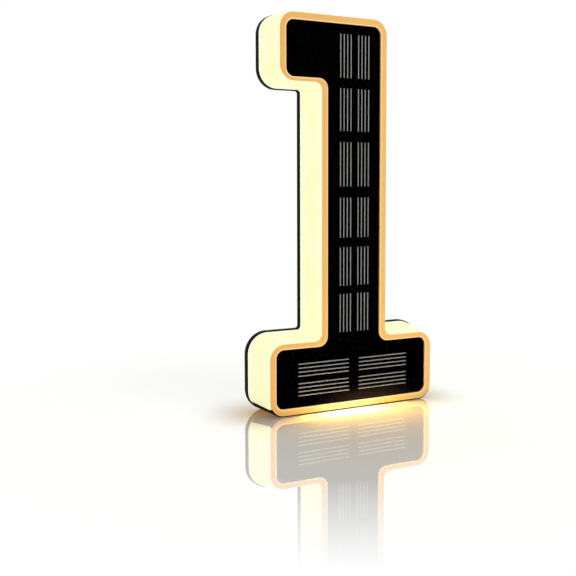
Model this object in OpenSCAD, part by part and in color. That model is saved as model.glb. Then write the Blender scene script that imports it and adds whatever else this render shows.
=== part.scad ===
// Solar house number: a slab-serif figure one whose side wall lights up.
// X runs to the right as seen from the front, Y from the front face to the wall, Z up.
// The origin lies under the middle of the foot, halfway through the depth.

/* [Figure outline] */
// Height of the front face
sign_h = 200; // [190:1:230]
// Depth from the front face to the wall
sign_depth = 22; // [18.5:0.5:28]
// Width of the upright stem
stem_w = 39; // [37:0.5:44]
// Width of the foot
foot_w = 98; // [97:0.2:116]
// Height of the foot
foot_h = 37; // [36.5:0.5:42]
// Reach of the flag beyond the stem
flag_reach = 23.5; // [21:0.5:30]
// Height of the flag
flag_h = 33.6; // [32:0.2:40]
// Radius of the outward corners
corner_r = 8; // [7:0.5:9]
// Radius of the inward corners
inner_corner_r = 3.75; // [2.5:0.25:5]
// Outward lean of the side wall from the front face to the wall
side_flare = 2.25; // [1:0.25:2.5]
// The same lean on the foot's sides
foot_flare = 3.5; // [2:0.25:3.75]
// The same lean on the foot's upper edge
step_flare = 4; // [3:0.25:4.5]
// The same lean on the top edge
top_flare = 1.25; // [0.75:0.25:2]

/* [Amber rim and solar panel] */
// Width of the amber rim
rim_w = 3.8; // [3.2:0.2:4.6]
// Width of the rim under the flag
under_rim_w = 2.3; // [2.1:0.1:3]
// Width of the rim along the foot's upper edge
step_rim_w = 3.1; // [2.7:0.1:3.8]
// Radius of the panel's inward corners
panel_inner_r = 5; // [4.5:0.25:6]
// Thickness of the amber rim
rim_t = 1.2; // [1.1:0.1:1.6]
// Rounding of the rim's outer edge
rim_round = 0.6; // [0.3:0.1:0.8]
// Width of the bevel on the rim's inner edge
bevel_w = 0.6; // [0.4:0.1:0.8]
// Depth of that bevel, and the drop from the rim to the panel
rim_bevel = 0.2; // [0.2:0.1:0.5]
// Thickness of the panel's circuit board
board_t = 1.5; // [1:0.1:2]
// Thickness of the silicon cells
cell_t = 0.3; // [0.2:0.05:0.35]
// Spacing of the silver busbars
bar_pitch = 2.05; // [1.8:0.05:2.2]
// Width of one busbar
bar_w = 0.55; // [0.4:0.05:1]
// Spacing of the two cell strips on the stem
stem_strip_pitch = 10.6; // [9.4:0.1:11.5]
// Spacing of the two cell strips on the foot
foot_strip_pitch = 10; // [9.2:0.1:10.8]
// Length of one cell on the foot
foot_cell_len = 29.8; // [26:0.2:32]
// Gap between the foot's two cells
foot_cell_gap = 4.1; // [2:0.1:5]
// Offset of all cells to the right of the panel's middle
cell_offset = 0.4; // [0:0.1:1]

/* [Side wall and back plate] */
// Thickness of the light-diffusing side wall
wall_t = 1.8; // [1.5:0.1:2.2]
// Thickness of the ledge under the solar panel
ledge_t = 1.5; // [1:0.1:2]
// Thickness of the clear seal between the side wall and the back plate
seal_t = 0.5; // [0.3:0.1:0.8]
// Thickness of the back plate
back_t = 2.9; // [2.3:0.1:3]
// Radius of a cover screw's shank
cover_screw_r = 1; // [0.9:0.05:1.1]
// Length of a cover screw below its head
cover_screw_len = 9; // [7:0.5:10]

/* [Keyholes] */
// Radius of the keyhole's round entry
key_entry_r = 4.5; // [4.2:0.1:4.8]
// Width of the keyhole's slot
key_slot_w = 4.8; // [4:0.1:5]
// Travel from the entry to the end of the slot
key_travel = 7.5; // [7:0.25:8]
// Depth of the pocket for the screw head
key_pocket_depth = 4.6; // [4.2:0.1:5]
// Distance of the foot's keyholes from its ends
foot_key_in = 14; // [14:0.1:15]
// Height of the foot keyholes' entries
foot_key_z = 14.5; // [14:0.25:15.5]
// Distance of the stem keyhole's entry from the top
stem_key_drop = 22; // [20:0.5:24]

/* [Mode button] */
// Radius of the mode button
button_r = 4.1; // [3.5:0.1:4.5]
// Travel of the mode button
button_travel = 1.2; // [0.8:0.1:1.4]
// Height of the mode button above the floor
button_z = 13; // [12.5:0.25:13.5]
// Depth of the finger recess round the button
button_recess = 1; // [0.8:0.1:1.2]

/* [Battery and boards] */
// Radius of the rechargeable cell
battery_r = 5.25; // [5:0.05:6]
// Length of the rechargeable cell without its nub
battery_len = 43.5; // [40:0.5:48]
// Height of the battery tray above the foot
tray_rise = 5; // [3:0.5:8]
// Width of the control board
control_w = 40; // [38:0.5:41]
// Height of the control board
control_h = 16; // [15:0.5:17]
// Thickness of the control board and the lamp strips
strip_t = 1; // [0.8:0.1:1.2]
// Width of a lamp strip
strip_w = 7; // [6:0.2:7.4]
// Length of the lamp strip in the stem
stem_strip_len = 58; // [50:1:68]
// Length of the lamp strip in the flag
flag_strip_len = 24; // [20:0.5:28]
// Length of the lamp strip in the foot
foot_strip_len = 46; // [40:1:56]
// Radius of an insulated lead
lead_r = 0.65; // [0.5:0.05:0.7]

/* [Hidden] */
$fn = 48;

// Colours
amber = "#F2BD72";
warm_cream = "#FEFFCF";
glow_white = "#FDFFF2";
shell_black = "#0B0B0C";
panel_black = "#050506";
cell_black = "#07080C";
busbar_silver = "#BFC0BE";
clear_film = "#20242A";
film_white = "#F4F4F0";
board_green = "#1E5B34";
board_white = "#EDEDE6";
lamp_yellow = "#F6D65A";
chip_black = "#17181A";
ferrite_grey = "#3B3C40";
can_silver = "#C9CBCE";
resistor_black = "#222327";
switch_grey = "#8E9094";
steel = "#B4B6BA";
holder_black = "#141416";
cell_green = "#3C8C5A";
lead_red = "#B3201E";

// Small clearances shared by several pieces
cut = 0.2;
fit_gap = 0.4;
slip_gap = 0.08;
thread_gap = 0.05;
least_r = 0.3;
arc_steps = 10;

// Stations along the depth, measured from the front face
rim_back = rim_t;
board_back = rim_back + board_t;
ledge_back = board_back + ledge_t;
plate_front = sign_depth - back_t;
wall_back = plate_front - seal_t;

function lean(d) = side_flare * d / sign_depth;
function foot_lean(d) = foot_flare * d / sign_depth;
function step_lean(d) = step_flare * d / sign_depth;
function top_lean(d) = top_flare * d / sign_depth;
function y_at(d) = d - sign_depth / 2;

// Outline of the figure at depth d, drawn in by inset on every side. The underside doesn't lean.
// With panel at 1 it follows the panel's edge, where the rim is narrower and its inward corners tighter.
half_stem = stem_w / 2;
half_foot = foot_w / 2;
flag_x = half_stem + flag_reach;
flag_z = sign_h - flag_h;

function arc(x, z, r, from, to) = [
    for (i = [0 : arc_steps])
        let (a = from + (to - from) * i / arc_steps)
        [x + r * cos(a), z + r * sin(a)]
];
function outline(inset, d, panel = 0) =
    let (
        g = lean(d) - inset,
        h = foot_lean(d) - inset,
        r = max(corner_r + g, least_r),
        t = max(corner_r + h, least_r),
        f = max(inner_corner_r - g - panel * (inner_corner_r + rim_w - panel_inner_r), least_r),
        stem = half_stem + g,
        foot = half_foot + h,
        flag = flag_x + g,
        top = sign_h + top_lean(d) - inset,
        step = foot_h + step_lean(d) - inset + panel * (rim_w - step_rim_w),
        under = flag_z - g - panel * (rim_w - under_rim_w)
    )
    concat(
        arc(-foot + t, inset + t, t, 180, 270),
        arc(foot - t, inset + t, t, 270, 360),
        arc(foot - t, step - t, t, 0, 90),
        arc(stem + f, step + f, f, 270, 180),
        arc(stem - r, top - r, r, 0, 90),
        arc(-flag + r, top - r, r, 90, 180),
        arc(-flag + r, under + r, r, 180, 270),
        arc(-stem - f, under - f, f, 90, 0),
        arc(-stem - f, step + f, f, 360, 270),
        arc(-foot + t, step - t, t, 90, 180)
    );

// Extrudes a front view from depth d by thickness t
module slab(d, t) {
    translate([0, y_at(d) + t, 0])
        rotate([90, 0, 0])
            linear_extrude(t)
                children();
}
module figure(inset, d, panel = 0) {
    polygon(outline(inset, d, panel));
}
module figure_ring(outer, inner, d) {
    difference() {
        figure(outer, d);
        figure(inner, d);
    }
}
// A round bar or bore along the depth
module rod(x, z, d, t, r) {
    translate([x, y_at(d) + t, z])
        rotate([90, 0, 0])
            cylinder(h = t, r = r);
}
// A box centred on x and z that runs from depth d by t
module block(x, z, d, t, w, h) {
    translate([x - w / 2, y_at(d), z - h / 2])
        cube([w, t, h]);
}

// Sweeps a closed section round the figure. Each corner is [inset, depth], and a 1 after them sets it
// on the panel's edge.
module swept_rim(section) {
    rings = [
        for (p = section)
            let (panel = len(p) > 2 ? p[2] : 0)
            [for (q = outline(p[0], p[1], panel)) [q[0], y_at(p[1]), q[1]]]
    ];
    n = len(rings[0]);
    m = len(rings);
    polyhedron(
        points = [for (ring = rings) each ring],
        faces = [
            for (k = [0 : m - 1])
                for (i = [0 : n - 1])
                    let (
                        a = k * n + i,
                        b = k * n + (i + 1) % n,
                        c = ((k + 1) % m) * n + (i + 1) % n,
                        d = ((k + 1) % m) * n + i
                    )
                    each [[a, b, c], [a, c, d]]
        ]
    );
}

// Sweeps a round section along points
tube_sides = 8;
smooth_steps = 4;
function unit(v) = v / norm(v);
function heading(p, q, r) = unit(r - p) * min(norm(q - p), norm(r - q));
function between(q, r, from, to, t) =
    (2 * t - 3) * t * t * (q - r) + q + t * (t - 1) * ((t - 1) * from + t * to);
function smooth_path(route) =
    let (
        last = len(route) - 1,
        headings = [
            for (i = [0 : last])
                i == 0 ? route[1] - route[0] :
                i == last ? route[last] - route[last - 1] :
                heading(route[i - 1], route[i], route[i + 1])
        ]
    )
    concat(
        [
            for (i = [0 : last - 1])
                for (k = [0 : smooth_steps - 1])
                    between(route[i], route[i + 1], headings[i], headings[i + 1], k / smooth_steps)
        ],
        [route[last]]
    );
function tangent(path, i) = unit(path[min(i + 1, len(path) - 1)] - path[max(i - 1, 0)]);
function carry(path, i, normals) =
    i == len(path) ? normals :
    let (t = tangent(path, i), last = normals[i - 1])
    carry(path, i + 1, concat(normals, [unit(last - (last * t) * t)]));
module tube(path, r, side) {
    t0 = tangent(path, 0);
    normals = carry(path, 1, [unit(side - (side * t0) * t0)]);
    n = len(path);
    s = tube_sides;
    polyhedron(
        points = [
            for (i = [0 : n - 1])
                let (u = normals[i], v = cross(tangent(path, i), u))
                for (j = [0 : s - 1])
                    path[i] + r * (cos(360 * j / s) * u + sin(360 * j / s) * v)
        ],
        faces = concat(
            [[for (j = [0 : s - 1]) j]],
            [
                for (i = [0 : n - 2])
                    for (j = [0 : s - 1])
                        let (
                            a = i * s + j,
                            b = i * s + (j + 1) % s,
                            c = (i + 1) * s + (j + 1) % s,
                            d = (i + 1) * s + j
                        )
                        each [[a, d, c], [a, c, b]]
            ],
            [[for (j = [s - 1 : -1 : 0]) (n - 1) * s + j]]
        )
    );
}
// A lead whose route is given as [x, depth, z]. Its ends run straight, square to what they meet.
lead_stub = 1.3;
module lead(route) {
    points = [for (p = route) [p[0], y_at(p[1]), p[2]]];
    last = len(points) - 1;
    from = points[0] + lead_stub * unit(points[1] - points[0]);
    to = points[last] + lead_stub * unit(points[last - 1] - points[last]);
    inner = [for (i = [0 : last]) i == 0 ? from : i == last ? to : points[i]];
    tube(concat([points[0]], smooth_path(inner), [points[last]]), lead_r, [0, 0.2, 1]);
}

// Side wall: the wall leans out, a ledge carries the panel and posts take the cover screws
ledge_in = rim_w + wall_t;
post_r = 2.6;
post_out_share = 0.33;
post_in = 4;
post_front = ledge_back - ledge_t / 2;
rib_w = 1.6;
rib_lean_share = 0.8;
post_bore_r = cover_screw_r + thread_gap;
mid_post_share = 0.63;
stem_span = flag_z - foot_h;
mid_post_z = foot_h + stem_span * mid_post_share;
post_out = corner_r * post_out_share;
rib_out = corner_r + lean(post_front) * rib_lean_share;
foot_rib_out = corner_r + foot_lean(post_front) * rib_lean_share;
foot_rib_low = corner_r - foot_lean(post_front) * rib_lean_share;
side_rib_out = post_in + lean(post_front) * rib_lean_share;
// Each post is [x, z, direction of its rib, reach of its rib from the post]
function corner_post(x, z, sx, sz, reach) = [
    x + sx * post_out,
    z + sz * post_out,
    atan2(sz, sx),
    reach - post_out * sqrt(2)
];
posts = [
    corner_post(-half_foot + corner_r, corner_r, -1, -1, foot_rib_low),
    corner_post(half_foot - corner_r, corner_r, 1, -1, foot_rib_low),
    corner_post(half_foot - corner_r, foot_h - corner_r, 1, 1, foot_rib_out),
    corner_post(-half_foot + corner_r, foot_h - corner_r, -1, 1, foot_rib_out),
    corner_post(half_stem - corner_r, sign_h - corner_r, 1, 1, rib_out),
    corner_post(-flag_x + corner_r, sign_h - corner_r, -1, 1, rib_out),
    corner_post(-flag_x + corner_r, flag_z + corner_r, -1, -1, rib_out),
    [half_stem - post_in, mid_post_z, 0, side_rib_out],
    [-half_stem + post_in, mid_post_z, 180, side_rib_out]
];
module diffuser_shell() {
    color(warm_cream)
        difference() {
            union() {
                swept_rim([
                    [0, rim_back],
                    [0, wall_back],
                    [wall_t, wall_back],
                    [wall_t, ledge_back],
                    [ledge_in, ledge_back],
                    [ledge_in, board_back],
                    [wall_t, board_back],
                    [wall_t, rim_back]
                ]);
                for (p = posts) {
                    rod(p[0], p[1], post_front, plate_front - post_front, post_r);
                    translate([p[0], y_at(post_front), p[1]])
                        rotate([0, -p[2], 0])
                            translate([0, 0, -rib_w / 2])
                                cube([p[3], wall_back - post_front, rib_w]);
                }
            }
            for (p = posts)
                rod(p[0], p[1], ledge_back + cut, plate_front - ledge_back, post_bore_r);
        }
}

// Amber rim: flat face, rounded outer edge and bevelled inner edge
rim_round_steps = 4;
module front_bezel() {
    color(amber)
        swept_rim(concat(
            [
                [rim_w, rim_back, 1],
                [rim_w, rim_bevel, 1],
                [rim_w - bevel_w, 0, 1]
            ],
            [
                for (i = [0 : rim_round_steps])
                    let (a = 90 * i / rim_round_steps)
                    [rim_round * (1 - sin(a)), rim_round * (1 - cos(a))]
            ],
            [[0, rim_back]]
        ));
}

// Clear seal that lets a line of light out between the side wall and the back plate
seal_in = 0.1;
module rim_seal() {
    color(glow_white)
        slab(wall_back, seal_t)
            figure_ring(seal_in, wall_t, wall_back);
}

// Back plate with keyholes, board posts, locating tabs and the button hole
tab_t = 1.2;
tab_h = 2;
tab_len = 26;
flag_tab_len = 12;
key_wall = 1.2;
key_head_gap = 0.2;
screw_head_r = 1.9;
screw_head_t = 1.2;
head_sink = 0.1;
head_gap = 0.3;
plate_hole_r = cover_screw_r + head_sink;
counterbore = screw_head_t + head_sink;
foot_key_x = half_foot - foot_key_in;
stem_key_z = sign_h - stem_key_drop;
keys = [[-foot_key_x, foot_key_z], [foot_key_x, foot_key_z], [0, stem_key_z]];
pocket_r = key_entry_r + key_head_gap;
pocket_h = key_travel + 2 * pocket_r;
pocket_front = plate_front - key_pocket_depth;
finger_r = 7;
button_hole_r = button_r + slip_gap;
board_post_r = 2.4;
board_screw_r = 0.8;
board_post_inset = 3;
switch_t = 3;
flange_t = 1;
flange_gap = 0.1;
// The control board's rear face leaves room for the switch, the button's flange and its travel
control_back = plate_front - flange_gap - flange_t - button_travel - switch_t - fit_gap - fit_gap / 2;
control_front = control_back - strip_t;
board_post_len = plate_front - control_back;
board_posts = [
    for (sx = [-1, 1])
        for (sz = [-1, 1])
            [sx * (control_w / 2 - board_post_inset), button_z + sz * (control_h / 2 - board_post_inset)]
];
module key_slot_outline() {
    circle(r = key_entry_r);
    translate([-key_slot_w / 2, 0])
        square([key_slot_w, key_travel]);
    translate([0, key_travel])
        circle(r = key_slot_w / 2);
}
// Locating tabs just inside the side wall, each [x, z, width, height]
tab_in = wall_t + fit_gap + tab_t / 2;
tab_side = tab_in - lean(wall_back);
top_tab_side = tab_in - top_lean(wall_back);
foot_tab_side = tab_in - foot_lean(wall_back);
stem_tab_z_shares = [0.35, 0.85];
foot_tab_x_share = 0.55;
foot_tab_len_share = 0.6;
foot_flat = half_foot - corner_r;
foot_tab_x = foot_flat * foot_tab_x_share;
foot_tab_len = foot_flat * foot_tab_len_share;
tabs = concat(
    [
        [-foot_tab_x, tab_in, foot_tab_len, tab_t],
        [foot_tab_x, tab_in, foot_tab_len, tab_t],
        [half_stem - flag_x + tab_side, sign_h - top_tab_side, tab_len, tab_t],
        [-flag_x + tab_side, sign_h - flag_h / 2, tab_t, flag_tab_len],
        [-half_foot + foot_tab_side, foot_h / 2, tab_t, flag_tab_len],
        [half_foot - foot_tab_side, foot_h / 2, tab_t, flag_tab_len]
    ],
    [
        for (share = stem_tab_z_shares)
            for (sx = [-1, 1])
                [sx * (half_stem - tab_side), foot_h + stem_span * share, tab_t, tab_len]
    ]
);
module back_plate() {
    color(shell_black)
        difference() {
            union() {
                slab(plate_front, back_t)
                    figure(0, sign_depth);
                for (t = tabs)
                    block(t[0], t[1], plate_front - tab_h, tab_h + cut, t[2], t[3]);
                for (k = keys)
                    block(
                        k[0],
                        k[1] + key_travel / 2,
                        pocket_front - key_wall,
                        key_pocket_depth + key_wall + cut,
                        2 * (pocket_r + key_wall),
                        pocket_h + 2 * key_wall
                    );
                for (p = board_posts)
                    rod(p[0], p[1], control_back, board_post_len + cut, board_post_r);
            }
            for (k = keys) {
                block(k[0], k[1] + key_travel / 2, pocket_front, key_pocket_depth, 2 * pocket_r, pocket_h);
                slab(plate_front - cut, back_t + 2 * cut)
                    translate([k[0], k[1]])
                        key_slot_outline();
            }
            for (p = posts) {
                rod(p[0], p[1], plate_front - cut, back_t + 2 * cut, plate_hole_r);
                rod(p[0], p[1], sign_depth - counterbore, counterbore + cut, screw_head_r + head_gap);
            }
            for (p = board_posts)
                rod(p[0], p[1], control_back - cut, board_post_len + cut, board_screw_r + thread_gap);
            rod(0, button_z, plate_front - cut, back_t + 2 * cut, button_hole_r);
            rod(0, button_z, sign_depth - button_recess, button_recess + cut, finger_r);
        }
}

// Cross-head screw: the head starts at depth d and the shank runs away from it along dir
cross_w = 0.5;
cross_share = 1.3;
cross_depth_share = 0.6;
module pan_screw(x, z, d, dir, head_r, head_t, r, len) {
    head_from = dir > 0 ? d - head_t : d;
    shank_from = dir > 0 ? d : d - len;
    cross_t = head_t * cross_depth_share;
    cross_from = dir > 0 ? head_from - cut : head_from + head_t - cross_t;
    difference() {
        union() {
            rod(x, z, head_from, head_t, head_r);
            rod(x, z, shank_from, len, r);
        }
        block(x, z, cross_from, cross_t + cut, cross_w, head_r * cross_share);
        block(x, z, cross_from, cross_t + cut, head_r * cross_share, cross_w);
    }
}
module cover_screws() {
    color(steel)
        for (p = posts)
            pan_screw(
                p[0], p[1], sign_depth - counterbore, -1,
                screw_head_r, screw_head_t, cover_screw_r, cover_screw_len
            );
}
board_head_r = 1.6;
board_head_t = 1.1;
board_screw_len = 5.5;
module board_screws() {
    color(steel)
        for (p = board_posts)
            pan_screw(
                p[0], p[1], control_front, 1,
                board_head_r, board_head_t, board_screw_r, board_screw_len
            );
}

// Solar panel: a board, eight cells of two strips each, their busbars and the clear window
window_gap = 0.15;
window_front = rim_bevel;
pocket_gap = 0.05;
bar_t = 0.05;
cell_front = rim_back - cell_t;
bar_front = cell_front - bar_t;
cell_margin = 1;
bars_per_strip = 4;
strip_face_w = (bars_per_strip - 1) * bar_pitch + 2 * cell_margin;
// Middles and lengths of the stem's cells, as shares of the sign's height, from the top down
stem_cell_z_shares = [0.9025, 0.7685, 0.6315, 0.496, 0.371, 0.251];
stem_cell_len_shares = [0.1085, 0.1065, 0.112, 0.1015, 0.0985, 0.0985];
foot_cell_z_share = 0.481;
// Each cell is [x, z, length, upright or lying, spacing of its strips]
stem_cells = [
    for (i = [0 : len(stem_cell_z_shares) - 1])
        [cell_offset, sign_h * stem_cell_z_shares[i], sign_h * stem_cell_len_shares[i], true, stem_strip_pitch]
];
foot_cell_x = foot_cell_len / 2 + cell_margin + foot_cell_gap / 2;
foot_cells = [
    for (s = [-1, 1])
        [cell_offset + s * foot_cell_x, foot_h * foot_cell_z_share, foot_cell_len, false, foot_strip_pitch]
];
module strip_block(c, off, d, t, across, along) {
    if (c[3])
        block(c[0] + off, c[1], d, t, across, along);
    else
        block(c[0], c[1] + off, d, t, along, across);
}
module cell(c, d, t, grow) {
    for (s = [-0.5, 0.5])
        strip_block(c, s * c[4], d, t, strip_face_w + 2 * grow, c[2] + 2 * cell_margin + 2 * grow);
}
module solar_cell(c) {
    color(cell_black)
        cell(c, cell_front, cell_t, 0);
}
module busbars(c) {
    color(busbar_silver)
        for (s = [-0.5, 0.5])
            for (i = [0 : bars_per_strip - 1])
                strip_block(
                    c,
                    s * c[4] + (i - (bars_per_strip - 1) / 2) * bar_pitch,
                    bar_front, bar_t, bar_w, c[2]
                );
}
module panel_window() {
    color(clear_film)
        difference() {
            slab(window_front, rim_back - window_front)
                figure(rim_w + window_gap, rim_bevel, 1);
            for (c = concat(stem_cells, foot_cells))
                cell(c, bar_front - pocket_gap, rim_back - bar_front + pocket_gap + cut, pocket_gap);
        }
}
module panel_board() {
    color(panel_black)
        slab(rim_back, board_t)
            figure(wall_t + fit_gap, rim_back);
}

// White film behind the panel that throws the light back to the side wall
film_t = 0.3;
film_slot_h = 5;
film_slot_w = 14;
panel_lead_rise = 12;
panel_lead_x = 4;
panel_lead_z = button_z + control_h / 2 + panel_lead_rise;
module reflector_sheet() {
    color(film_white)
        slab(board_back, film_t)
            difference() {
                figure(ledge_in + fit_gap, board_back);
                translate([-film_slot_w / 2, panel_lead_z - film_slot_h / 2])
                    square([film_slot_w, film_slot_h]);
            }
}

// Battery tray: its walls, the room for the coil contact and its place along the stem
tray_base = 1;
tray_gap = 0.2;
tray_side = 0.8;
tray_end = 1.2;
contact_t = 0.4;
coil_room = 3.5;
nub_r = 1.9;
nub_t = 1;
battery_d = plate_front - tray_base - tray_gap - battery_r;
tray_half = (battery_len + nub_t + coil_room) / 2 + contact_t;

// Lamp strips on the back plate. Each is [x, z, length, upright or lying, lamp places along it].
led_w = 2.8;
led_len = 3.5;
led_t = 1.3;
led_dome_r = 1.1;
led_dome_t = 0.2;
strip_gap = 2;
strip_room = 6;
strip_edge = 0.8;
tray_bottom = foot_h + tray_rise;
tray_top = tray_bottom + 2 * (tray_half + tray_end);
stem_strip_low = tray_top + strip_room;
stem_strip_z = stem_strip_low + stem_strip_len / 2;
flag_strip_right = -pocket_r - key_wall - 2 * strip_gap;
flag_strip_x = flag_strip_right - flag_strip_len / 2;
flag_strip_z = sign_h - flag_h / 2;
foot_strip_z = foot_h - wall_t - strip_edge - strip_w / 2;
stem_led_shares = [-0.36, -0.18, 0, 0.18, 0.36];
flag_led_shares = [-0.36, 0.04];
foot_led_shares = [-0.42, -0.16, 0.16, 0.42];
stem_strip = [0, stem_strip_z, stem_strip_len, true, stem_led_shares];
flag_strip = [flag_strip_x, flag_strip_z, flag_strip_len, false, flag_led_shares];
foot_strip = [0, foot_strip_z, foot_strip_len, false, foot_led_shares];
strip_front = plate_front - strip_t;
module led_strip(s) {
    color(board_white)
        strip_block(s, 0, strip_front, strip_t, strip_w, s[2]);
}
module leds(s) {
    color(lamp_yellow)
        for (share = s[4]) {
            x = s[0] + (s[3] ? 0 : share * s[2]);
            z = s[1] + (s[3] ? share * s[2] : 0);
            block(x, z, strip_front - led_t, led_t, led_w, led_len);
            rod(x, z, strip_front - led_t - led_dome_t, led_dome_t + cut, led_dome_r);
        }
}

// Control board and what is soldered to its front and rear
module control_board() {
    color(board_green)
        difference() {
            block(0, button_z, control_front, strip_t, control_w, control_h);
            for (p = board_posts)
                rod(p[0], p[1], control_front - cut, strip_t + 2 * cut, board_screw_r + head_sink);
        }
}
chip_w = 3.9;
chip_len = 4.9;
chip_t = 1.5;
part_drop = 2.8;
chip_z = button_z - part_drop;
leg_w = 0.4;
leg_t = 0.2;
leg_reach = 1;
leg_pitch = 1.27;
legs_per_side = 4;
module charge_chip() {
    color(chip_black) {
        block(0, chip_z, control_front - chip_t, chip_t, chip_w, chip_len);
        for (i = [0 : legs_per_side - 1])
            block(
                0,
                chip_z + (i - (legs_per_side - 1) / 2) * leg_pitch,
                control_front - leg_t, leg_t, chip_w + 2 * leg_reach, leg_w
            );
    }
}
inductor_r = 3.2;
inductor_t = 3.4;
inductor_waist = 0.5;
inductor_cap = 0.7;
inductor_x = 6.6;
module boost_inductor() {
    from = control_front - inductor_t;
    color(ferrite_grey) {
        rod(inductor_x, chip_z, from, inductor_t, inductor_r - inductor_waist);
        rod(inductor_x, chip_z, from, inductor_cap, inductor_r);
        rod(inductor_x, chip_z, control_front - inductor_cap, inductor_cap, inductor_r);
    }
}
can_r = 2.4;
can_t = 5.5;
can_x = 6.4;
can_pitch = 5.2;
can_groove = 0.25;
can_groove_t = 0.5;
can_groove_share = 0.2;
groove_front = control_front - can_t * can_groove_share;
module board_capacitors() {
    color(can_silver)
        for (x = [-can_x, -can_x - can_pitch])
            difference() {
                rod(x, chip_z, control_front - can_t, can_t, can_r);
                difference() {
                    rod(x, chip_z, groove_front, can_groove_t, can_r + cut);
                    rod(x, chip_z, groove_front - cut, can_t, can_r - can_groove);
                }
            }
}
resistor_w = 1.25;
resistor_len = 2;
resistor_t = 0.5;
resistor_x = 11.6;
resistor_column = 1.8;
resistor_row = 2.8;
resistor_columns = 2;
resistor_rows = 3;
module board_resistors() {
    color(resistor_black)
        for (i = [0 : resistor_columns - 1])
            for (k = [0 : resistor_rows - 1])
                block(
                    resistor_x + i * resistor_column,
                    chip_z + (k - (resistor_rows - 1) / 2) * resistor_row,
                    control_front - resistor_t, resistor_t, resistor_w, resistor_len
                );
}

// Mode button: a cap behind the plate presses the plunger of the switch, and a coil returns it
switch_w = 8;
plunger_r = 1.7;
plunger_in = button_travel + fit_gap;
switch_rear = control_back + switch_t;
flange_front = plate_front - flange_gap - flange_t;
plunger_front = switch_rear - plunger_in + fit_gap;
flange_lip = 1.1;
flange_r = button_r + flange_lip;
cap_rise_share = 0.7;
cap_rear = sign_depth - button_recess + button_recess * cap_rise_share;
dish_r = 14;
dish_depth = 0.35;
module switch_body() {
    color(switch_grey)
        difference() {
            block(0, button_z, control_back, switch_t, switch_w, switch_w);
            rod(
                0, button_z, switch_rear - plunger_in - button_travel,
                plunger_in + button_travel + cut, plunger_r + slip_gap
            );
        }
}
module switch_plunger() {
    color(film_white)
        rod(0, button_z, plunger_front, flange_front - plunger_front, plunger_r);
}
module button_cap() {
    color(chip_black)
        difference() {
            union() {
                rod(0, button_z, flange_front, flange_t, flange_r);
                rod(0, button_z, flange_front, cap_rear - flange_front, button_r);
            }
            translate([0, y_at(cap_rear) - dish_depth + dish_r, button_z])
                sphere(r = dish_r);
        }
}
coil_r = 2.8;
coil_wire_r = 0.2;
coil_turns = 2;
coil_steps = 20;
module button_spring() {
    from = switch_rear + coil_wire_r + thread_gap;
    to = flange_front - coil_wire_r - thread_gap;
    n = coil_turns * coil_steps;
    path = [
        for (i = [0 : n])
            let (a = 360 * i / coil_steps)
            [coil_r * cos(a), y_at(from + (to - from) * i / n), button_z + coil_r * sin(a)]
    ];
    color(steel)
        tube(path, coil_wire_r, [1, 0, 0.1]);
}

// Rechargeable cell upright in an open tray with a plate contact below and a coil contact above
tray_wall_share = 0.17;
tray_wall_front = battery_d - battery_r * tray_wall_share;
tray_end_front = battery_d - battery_r + tray_base;
tray_inside = tray_bottom + tray_end;
tray_x = battery_r + tray_gap;
battery_low = tray_inside + contact_t + nub_t;
battery_top = battery_low + battery_len;
module tray_box(z, d, h) {
    translate([-tray_x - tray_side, y_at(d), z])
        cube([2 * (tray_x + tray_side), plate_front - d, h]);
}
module battery_holder() {
    color(holder_black)
        difference() {
            union() {
                tray_box(tray_bottom, tray_wall_front, tray_top - tray_bottom);
                tray_box(tray_bottom, tray_end_front, tray_end);
                tray_box(tray_top - tray_end, tray_end_front, tray_end);
            }
            translate([-tray_x, y_at(0), tray_inside])
                cube([2 * tray_x, plate_front - tray_base, 2 * tray_half]);
        }
}
module battery_cell() {
    color(cell_green)
        translate([0, y_at(battery_d), battery_low - nub_t]) {
            translate([0, 0, nub_t])
                cylinder(h = battery_len, r = battery_r);
            cylinder(h = nub_t * 2, r = nub_r);
        }
}
contact_w = 8;
lug_w = 2.6;
lug_d_share = 0.5;
lug_reach = 4;
lug_d = battery_d - battery_r * lug_d_share;
lug_end = battery_r + lug_reach;
module contact_plate(z, side) {
    translate([-contact_w / 2, y_at(battery_d - contact_w / 2), z])
        cube([contact_w, contact_w, contact_t]);
    translate([side > 0 ? 0 : -lug_end, y_at(lug_d - lug_w / 2), z])
        cube([lug_end, lug_w, contact_t]);
}
module battery_contact() {
    color(can_silver)
        contact_plate(tray_inside, 1);
}
contact_coil_r = 3.4;
contact_coil_taper = 1.2;
contact_wire_r = 0.35;
contact_turns = 3;
contact_end_gap = 0.1;
module battery_spring() {
    plate_z = tray_top - tray_end - contact_t;
    z0 = battery_top + contact_wire_r + contact_end_gap;
    n = contact_turns * coil_steps;
    path = [
        for (i = [0 : n])
            let (a = 360 * i / coil_steps, r = contact_coil_r - contact_coil_taper * (1 - i / n))
            [r * cos(a), y_at(battery_d) + r * sin(a), z0 + (plate_z - z0) * i / n]
    ];
    color(can_silver) {
        contact_plate(plate_z, -1);
        tube(path, contact_wire_r, [0, 0, 1]);
    }
}

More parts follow.
